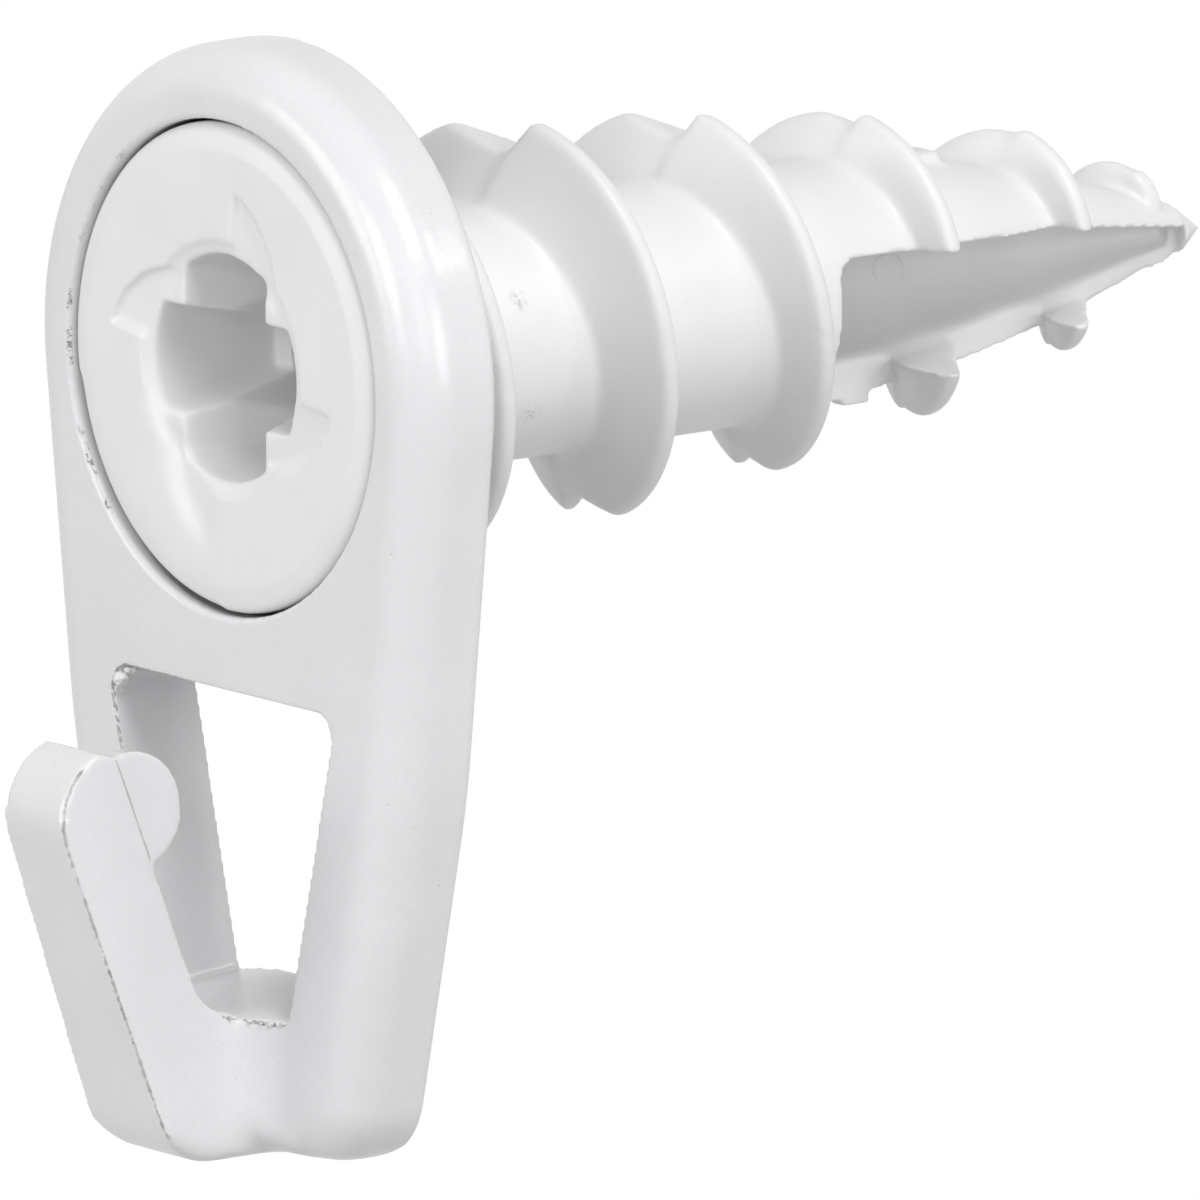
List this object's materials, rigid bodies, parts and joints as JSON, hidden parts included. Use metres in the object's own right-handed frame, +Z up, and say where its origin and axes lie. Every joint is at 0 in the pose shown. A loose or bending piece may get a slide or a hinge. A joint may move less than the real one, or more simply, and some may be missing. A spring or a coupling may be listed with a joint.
{
  "type": "picture hook with self-drilling wall anchor",
  "caption": "White cast hook body with a window and an upturned arm, hung under the round head of a hollow-tipped, coarse-threaded drywall anchor.",
  "frame": {"origin": "on the anchor's axis at the wall's surface, in the plane of the hook body's flat back", "axes": "+Y along the anchor's axis into the wall, +Z up, the hook opens towards -Y, X across the hook"},
  "size_m": [0.0206, 0.0475, 0.0356],
  "materials": {
    "coated_casting": "gloss white coating",
    "moulded_nylon": "satin white moulding"
  },
  "bodies": {
    "anchor": {"wall_anchor": "moulded_nylon"},
    "hook": {"hook_body": "coated_casting"}
  },
  "joints": [
    {"name": "hook_turn", "type": "hinge", "parent": "anchor", "child": "hook", "pos_m": [0, 0, 0], "axis": [0, 1, 0], "continuous": true}
  ]
}
